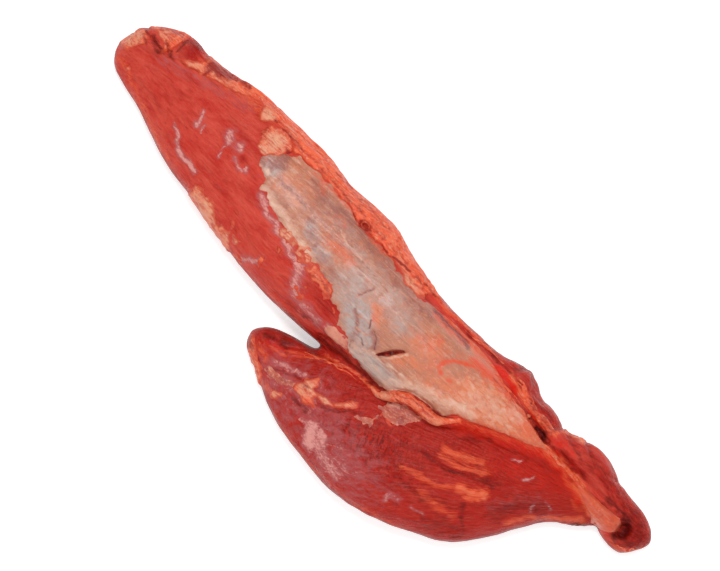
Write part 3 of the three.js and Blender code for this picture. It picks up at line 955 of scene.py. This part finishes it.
def paint_fat(piece, inside=None):
    """The masks that the fat's material reads. inside() tells how near a sheet's rim a point is."""
    points = points_of(piece)
    ragged = wandered(points, 1.8, 0.6, 43)
    paint(piece, "peachy", spots(ragged, PEACHY))
    # Painted shade on down-turned sides, together with the blood lines.
    bloody_and_shaded = np.maximum(strokes(ragged, RED_LINES_AND_SHADE), shade_facing_down(piece, 0.55, 0.42))
    paint(piece, "bloody_and_shaded", bloody_and_shaded)
    depth = inside(points) if inside else np.full(len(points), 2.0)
    paint(piece, "thin", np.clip(1 - depth / 2.5, 0, 1))


# Raw beef fat trimmed with a knife: soft and waxy, stained orange-red by the meat's juice, paler
# where it is thick.
FAT_ORANGE = "E85E38"
FAT_PEACH = "DE7656"
FAT_CREAM = "DEA080"
FAT_RED = "BC341C"
FAT_STAIN_AND_SHADE = "8A140C"

raw_fat, tree = new_material("raw beef fat")
place = add_node(tree, "ShaderNodeTexCoord").outputs["Object"]
peachy, bloody_and_shaded, thin = painted(tree, ("peachy", "bloody_and_shaded", "thin"))
colour = laid_over(tree, FAT_ORANGE, [
    (pattern(tree, place, (9 * MM, 4 * MM), 0.62, 1.2, added=peachy, bent=0.6), FAT_PEACH),
    (pattern(tree, place, (18 * MM, 2 * MM), 0.5, 0.72, 0.7, bent=0.4), FAT_PEACH),
    (pattern(tree, place, (4 * MM, 3 * MM), 1.2, 1.75, 1.0, added=peachy, bent=0.8), FAT_CREAM),
    (pattern(tree, place, (14 * MM, 2 * MM), 0.49, 0.36, 0.7, bent=0.5), FAT_RED),
    (pattern(tree, place, (9 * MM, 4 * MM), 0.48, 0.32, 0.8), FAT_RED),
    (pattern(tree, place, (3.5 * MM, 2 * MM), 0.54, 0.68, 0.6, bent=0.5), FAT_CREAM),
    (pattern(tree, place, (4 * MM, 2 * MM), 0.6, 1.2, 0.75, added=thin), FAT_RED),
    # Blood stains, with painted shade in crevices, along the rolled edge's lower side and on
    # down-turned sides.
    (pattern(tree, place, (3 * MM, 2 * MM), 0.65, 1.1, 0.9, added=bloody_and_shaded), FAT_STAIN_AND_SHADE),
])
fine = pattern(tree, place, (12 * MM, 1.6 * MM), 0.2, 0.8)
coarse = pattern(tree, place, (2.5 * MM, 2 * MM), 0.2, 0.8)
relief = add_node(tree, "ShaderNodeMath", {"operation": "ADD"}, {0: fine, 1: coarse}).outputs[0]
bump = add_node(tree, "ShaderNodeBump", {"Strength": 0.5, "Distance": 0.0008}, {"Height": relief})
shader = add_node(
    tree,
    "ShaderNodeBsdfPrincipled",
    {
        "IOR": 1.45,
        "Specular IOR Level": 0.3,
        "Roughness": 0.42,
        "Subsurface Weight": 0.08,
        "Subsurface Radius": (1.0, 0.5, 0.3),
        "Subsurface Scale": 0.002,
    },
    {"Base Color": colour, "Normal": bump.outputs[0]},
)
add_node(tree, "ShaderNodeOutputMaterial", {}, {"Surface": shader.outputs[0]})

paint_fat(side_fat, inside_side_fat)
side_fat.data.materials.append(raw_fat)
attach(side_fat, "root")


# Fat trim: what the knife left of the outer fat. It is a cap over the tail's tip, patches and crumbs
# along the membrane's frayed edge and the lower side, and a clump on the wing.
FAT_PATCHES = [
    [(-290, 50), (-275, 48), (-270, 47), (-267, 51), (-265, 57), (-261, 61), (-264, 64), (-263, 69),
     (-270, 71), (-290, 72)],
    [(-270, 73), (-262, 73.5), (-255, 71.5), (-250, 69), (-248, 65.5), (-244, 69), (-242, 76),
     (-241, 84), (-242, 96), (-275, 90)],
    [(-237, 68), (-225, 70.5), (-213, 74), (-212, 78), (-214, 84), (-220, 80.5), (-226, 76.5),
     (-232, 73)],
    [(-151, 72), (-149, 80), (-143, 85), (-137, 86), (-130, 83), (-124, 77), (-128, 71), (-131, 66),
     (-135, 61.5), (-141, 60), (-146, 62), (-148, 66)],
    [(-161, 9), (-155, 9), (-150, 5), (-145, 9), (-141, 7.5), (-137, 2), (-130, -1), (-124, -4),
     (-124, -12), (-162, -8)],
    [(-122, 8), (-117, 5), (-119, -1), (-127, 0), (-127, -10), (-104, -18), (-111, -8), (-116, -3)],
    [(-115, 0), (-107, 0), (-108, -4.5), (-112, -4.5)],
    [(-3, -51), (-1, -46), (-2, -42), (3, -40), (7, -36), (10, -40), (9, -45), (14, -46.5),
     (13, -51), (22, -54.5), (14, -56), (9, -59), (4, -56), (-2, -56)],
    [(14, -46), (22, -43.5), (27, -43), (32, -38), (36, -32.5), (41, -29.5), (44, -32), (40, -36),
     (35, -40), (30, -45), (24, -48), (17, -48)],
    [(-58, -50), (-50, -46), (-44, -52), (-38, -58), (-30, -61), (-25, -66), (-22, -74), (-44, -72)],
    [(-14, -72), (-13, -65), (-6, -63), (-4, -66), (-8, -73)],
    [(-262, 37), (-260, 41), (-257, 38)],
    [(171, 58), (176, 61), (188, 62.5), (190, 72), (171, 72)],
]
CRUMBS = [
    (-99, -10, 12, 4, -5, 0.8),
    (-86, 0, 2.5, 6, 12, 0.95),
    (-80, 14, 4, 2, -40, 0.9),
    (-49, 3, 9, 9, 10, 0.85),
    (-20, 9, 3, 2, -40, 0.9),
    (-36, 17, 4, 3, 60, 0.9),
    (66, -24, 12, 3, 0, 0.7),
]
LACE = [(-84, 29), (-70, 27), (-56, 23.5), (-44, 20), (-33, 16)]
LACE_HALF_WIDTH = 7
TRIM_LOW = 8


def inside_fat_trim(points):
    plan = points[:, :2]
    patches = np.maximum.reduce([depth_inside(plan, patch) for patch in FAT_PATCHES])
    patches += fray(points, 1.6, 1.1, 51)
    crumbs = 4.5 * (spots(plan, CRUMBS) - 0.72) + fray(points, 1.4, 2.2, 53)
    lace = 1.7 - (line_distance(plan, LACE) / LACE_HALF_WIDTH) ** 2 * 2.8 + fray(points, 1.8, 2.0, 57)
    above = points[:, 2] - TRIM_LOW + fray(points, 3.5, 1.5, 55)
    shown = np.maximum.reduce([patches, crumbs, lace])
    return np.minimum.reduce([shown, clear_of_lump(points), above])


def trim_relief(points, depth):
    lobules = noise(points, 5, 56) * 0.7 + noise(points, 2.4, 58) * 0.35
    return 1.0 * (1 - np.exp(-depth / 1.2)) + lobules * np.clip(depth / 1.5, 0, 1)


fat_trim = grown_sheet("fat_trim", inside_fat_trim, trim_relief, reach=2.2)
paint_fat(fat_trim, inside_fat_trim)
fat_trim.data.materials.append(raw_fat)
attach(fat_trim, "root")


# Films: scraps of thin membrane that stick to the wing and to the crease, torn off by hand. They are
# mauve where thin, and pale in folds and here and there along their rims.
FILM_SCRAPS = [
    [(60, -11), (66, -8.5), (72, -7.5), (80, -7), (84, -5.5), (85, -8.5), (81, -13), (78, -18),
     (73, -24), (66, -23.5), (62, -25), (59, -22.5), (55, -23), (51, -21), (56, -18.5), (57, -14)],
    [(59, -26), (60.5, -33), (60, -37.5), (52, -38), (45, -39.5), (51, -35), (55, -31)],
    [(-16, -4), (-10, 2), (0, 0.5), (7, -1.5), (8, -6), (0, -8), (-14, -8)],
    [(-3, -50), (-12, -53.5), (-20, -54), (-28, -56), (-27, -60), (-18, -60.5), (-10, -57.5),
     (-3, -54)],
]
PALE_FILM = [
    (-6, -3, 16, 8, 0, 0.85),
    (60, -12, 8, 5, 30, 0.85),
    (-24, -57, 8, 4, 0, 0.5),
]


def inside_films(points):
    plan = points[:, :2]
    depth = np.maximum.reduce([depth_inside(plan, scrap) for scrap in FILM_SCRAPS])
    return depth + fray(points, 1.5, 1.3, 65)


def film_relief(points, depth):
    folds = noise(points / (1.6, 1, 1), 3.4, 67) * 0.35
    return 0.3 * (1 - np.exp(-depth / 0.6)) + folds * np.clip(depth, 0, 1)


films = grown_sheet("films", inside_films, film_relief, reach=2.0, thickness=1.2)
points = points_of(films)
rim = np.clip(0.5 - inside_films(points) / 5, 0, 1)
paint(films, "pale", np.maximum(rim, spots(points[:, :2], PALE_FILM)))

# Thin moist membrane over dark meat: the red shows through, and the rim is twice as thick.
FILM_ROSE = "B85C4A"
FILM_LILAC = "964644"
FILM_EDGE = "E29A82"

thin_membrane, tree = new_material("thin moist membrane")
place = add_node(tree, "ShaderNodeTexCoord").outputs["Object"]
pale = painted(tree, ("pale",))[0]
colour = laid_over(tree, FILM_ROSE, [
    (pattern(tree, place, (8 * MM, 5 * MM), 0.46, 0.6, 0.75), FILM_LILAC),
    (pattern(tree, place, (4 * MM, 1.8 * MM), 0.5, 0.68, 0.65, bent=0.8), FILM_EDGE),
    (pattern(tree, place, (7 * MM, 5 * MM), 0.9, 1.4, 0.75, added=pale, bent=0.6), FILM_EDGE),
])
folds = pattern(tree, place, (3 * MM, 2 * MM), 0.2, 0.8)
bump = add_node(tree, "ShaderNodeBump", {"Strength": 0.5, "Distance": 0.0006}, {"Height": folds})
shader = add_node(
    tree,
    "ShaderNodeBsdfPrincipled",
    {"IOR": 1.4, "Specular IOR Level": 0.3, "Roughness": 0.35},
    {"Base Color": colour, "Normal": bump.outputs[0]},
)
add_node(tree, "ShaderNodeOutputMaterial", {}, {"Surface": shader.outputs[0]})
films.data.materials.append(thin_membrane)
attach(films, "root")


# Tendon: the smooth pink root on which the wing's fibres run together at the head, round-ended
# where it was cut from the hip bone.
TENDON_OUTLINE = [
    (204, 38), (216, 38.5), (230, 38.5), (240, 39.5), (247, 40), (251.5, 37), (252.5, 32), (249, 27),
    (243, 23.5), (234, 23), (226, 27), (216, 31),
]
TENDON_LOW = 8


def inside_tendon(points):
    depth = depth_inside(points[:, :2], TENDON_OUTLINE) + fray(points, 0.7, 0.4, 61)
    return np.minimum(depth, points[:, 2] - TENDON_LOW)


def tendon_relief(points, depth):
    strings = noise(points / (7, 1, 1), 2.4, 62) * 0.25
    return 1.4 * (1 - np.exp(-depth / 2.2)) + strings * np.clip(depth / 3, 0, 1)


tendon = grown_sheet("tendon", inside_tendon, tendon_relief, thickness=2.0)

# Moist tendon: tight pink-orange cords along its length, smoother and glossier than the meat.
TENDON_PINK = "C2543E"
TENDON_ORANGE = "D0502E"
TENDON_PALE = "DC8A6C"
TENDON_RED = "B23A2C"

cut_tendon, tree = new_material("moist tendon")
place = add_node(tree, "ShaderNodeTexCoord").outputs["Object"]
colour = laid_over(tree, TENDON_PINK, [
    (pattern(tree, place, (12 * MM, 6 * MM), 0.4, 0.62), TENDON_ORANGE),
    (pattern(tree, place, (30 * MM, 1.8 * MM), 0.5, 0.74, 0.45), TENDON_PALE),
    (pattern(tree, place, (30 * MM, 1.8 * MM), 0.47, 0.3, 0.6), TENDON_RED),
])
cords = pattern(tree, place, (30 * MM, 1.8 * MM), 0.2, 0.8)
bump = add_node(tree, "ShaderNodeBump", {"Strength": 0.35, "Distance": 0.0006}, {"Height": cords})
shader = add_node(
    tree,
    "ShaderNodeBsdfPrincipled",
    {"IOR": 1.4, "Specular IOR Level": 0.35, "Roughness": 0.32},
    {"Base Color": colour, "Normal": bump.outputs[0]},
)
add_node(tree, "ShaderNodeOutputMaterial", {}, {"Surface": shader.outputs[0]})
tendon.data.materials.append(cut_tendon)
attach(tendon, "root")


# Rolled edge: where the wing was freed from the fillet, the membrane's cut edge has rolled up into
# a soft orange fold that lies along the crease.
ABOVE_MEAT = 200
LOWEST_SHARE = 0.8  # of a strand's middle height: lower places hang down the meat's side


def surface_height(x, y):
    """The flesh's upper surface over a place of the plan, in millimetres."""
    hit, place, _, _ = flesh.ray_cast((x * MM, y * MM, ABOVE_MEAT * MM), (0, 0, -1))
    return place.z / MM if hit else 0


def strand(rows, lift):
    """A round-ended strand on the flesh. Each row is x, y and radius; lift raises its middle line.
    A row that would hang down the meat's side is left out."""
    heights = [surface_height(x, y) for x, y, _ in rows]
    lowest = LOWEST_SHARE * np.median(heights)
    rows = [row for row, height in zip(rows, heights) if height > lowest]
    curve = bpy.data.curves.new("strand", "CURVE")
    curve.dimensions = "3D"
    curve.bevel_depth = MM
    curve.bevel_resolution = 4
    curve.resolution_u = 6
    curve.use_fill_caps = True
    spline = curve.splines.new("BEZIER")
    spline.bezier_points.add(len(rows) - 1)
    for point, (x, y, radius) in zip(spline.bezier_points, rows):
        point.co = (x * MM, y * MM, (surface_height(x, y) + lift * radius) * MM)
        point.radius = radius
        point.handle_left_type = point.handle_right_type = "AUTO"
    piece = bpy.data.objects.new("strand", curve)
    bpy.context.collection.objects.link(piece)
    only(piece)
    bpy.ops.object.convert(target="MESH")
    return bpy.context.object


def joined(pieces, name):
    """Several pieces as one."""
    only(pieces[0])
    for piece in pieces:
        piece.select_set(True)
    bpy.ops.object.join()
    bpy.context.object.name = name
    return bpy.context.object


def roughened(piece, size, height, seed):
    """Moves the surface in and out, so that no strand stays a plain tube."""
    points = points_of(piece)
    uneven = noise(points, size, seed) + 0.5 * noise(points, size / 2, seed + 1)
    put_points(piece, points + normals_of(piece) * (uneven * height)[:, None])


bpy.context.view_layer.update()
FOLD = [
    (20, -16, 0.6), (32, -14.2, 0.9), (40, -14, 1.3), (45, -15, 2.2), (49, -14, 3.2),
    (53, -11.8, 4.3), (57.5, -8, 5.0), (63, -4, 5.2), (69, -1.6, 5.0), (76, -0.7, 4.8),
    (83, -0.7, 4.7), (90, -0.3, 4.6), (95, 1.2, 4.0), (99, 4.6, 3.1), (103, 9, 2.2),
    (106.5, 13, 1.2),
]
rolled_edge = strand(FOLD, -0.45)
rolled_edge.name = "rolled_edge"
modify(rolled_edge, "REMESH", mode="VOXEL", voxel_size=0.55 * MM)
roughened(rolled_edge, 6, 0.9, 71)
modify(rolled_edge, "SMOOTH", factor=0.5, iterations=2)
bpy.ops.object.shade_smooth()
paint_fat(rolled_edge)
rolled_edge.data.materials.append(raw_fat)
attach(rolled_edge, "root")


# Strands: torn cords of seam tissue over the side muscle's head end, along the head's seam, round
# the tip and round the cut vein, left when the surface was peeled.
# Each bundle: how many, half the bundle's width, thickest radius, line
BUNDLES = [
    (12, 2.6, 1.4, [(110, 65.5), (125, 62), (134, 58.5), (146, 56), (158, 55), (170, 52.5)]),
    (5, 1.3, 0.9, [(20, 67), (42, 67), (64, 66.5), (90, 66.5), (110, 68)]),
    (6, 1.2, 1.0, [(74, 62.5), (92, 60.5), (104, 57), (114, 53.5), (128, 52), (142, 50.5)]),
    (6, 1.8, 1.2, [(160, 41), (175, 40), (190, 39.5), (206, 38), (222, 36.5)]),
    (2, 0.8, 1.1, [(250, 23), (260, 22.5), (268, 26), (273, 33)]),
    (5, 2.4, 0.8, [(-42, -43), (-22, -34), (0, -23), (16, -17.5), (34, -15)]),
    (5, 2.4, 1.1, [(-110, 86), (-80, 82), (-50, 80), (-22, 77), (4, 72), (22, 66)]),
    (4, 2.0, 0.8, [(-208, 78), (-185, 84), (-168, 88)]),
]
PARTS = 6  # how many stretches a cord has
WOBBLE = 0.9
CORD_SHARE = (0.3, 0.65)  # how much of its bundle's line a cord runs along
VEIN_LIPS = (3.4, 2.5, 0.95)  # two half widths of the vein's cut end, and its wall's radius


def on_line(line, share):
    """The place at this share of a line's length."""
    lengths = np.linalg.norm(np.diff(line, axis=0), axis=1)
    stations = np.concatenate([[0], np.cumsum(lengths)]) / lengths.sum()
    return np.array([np.interp(share, stations, [point[k] for point in line]) for k in (0, 1)])


def cord_of(line, half_width, radius, random):
    """The rows of one cord of a bundle: it starts anywhere, wobbles and thins out at both ends."""
    run = random.uniform(*CORD_SHARE)
    start = random.uniform(0, 1 - run)
    aside = random.uniform(-half_width, half_width)
    thickness = radius * random.uniform(0.6, 1.0)
    rows = []
    for part in range(PARTS + 1):
        share = start + run * part / PARTS
        place = on_line(line, share)
        along = on_line(line, min(share + 0.02, 1)) - on_line(line, max(share - 0.02, 0))
        across = np.array([-along[1], along[0]]) / np.hypot(*along)
        place = place + across * (aside + random.uniform(-WOBBLE, WOBBLE))
        fullness = 0.45 + 0.55 * math.sin(math.pi * part / PARTS)
        rows.append((*place, thickness * fullness))
    return rows


random = np.random.default_rng(7)
cords = [
    strand(cord_of(line, half_width, radius, random), -0.15)
    for count, half_width, radius, line in BUNDLES
    for _ in range(count)
]
ring = [
    (VEIN_HOLE[0] + VEIN_LIPS[0] * math.cos(turn), VEIN_HOLE[1] + VEIN_LIPS[1] * math.sin(turn),
     VEIN_LIPS[2])
    for turn in np.linspace(0, 2 * math.pi, 10)
]
strands = joined([*cords, strand(ring, 0.5)], "strands")
modify(strands, "REMESH", mode="VOXEL", voxel_size=0.6 * MM)
roughened(strands, 4, 0.35, 81)
modify(strands, "SMOOTH", factor=0.5, iterations=2)
bpy.ops.object.shade_smooth()
paint_fat(strands)
strands.data.materials.append(raw_fat)
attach(strands, "root")
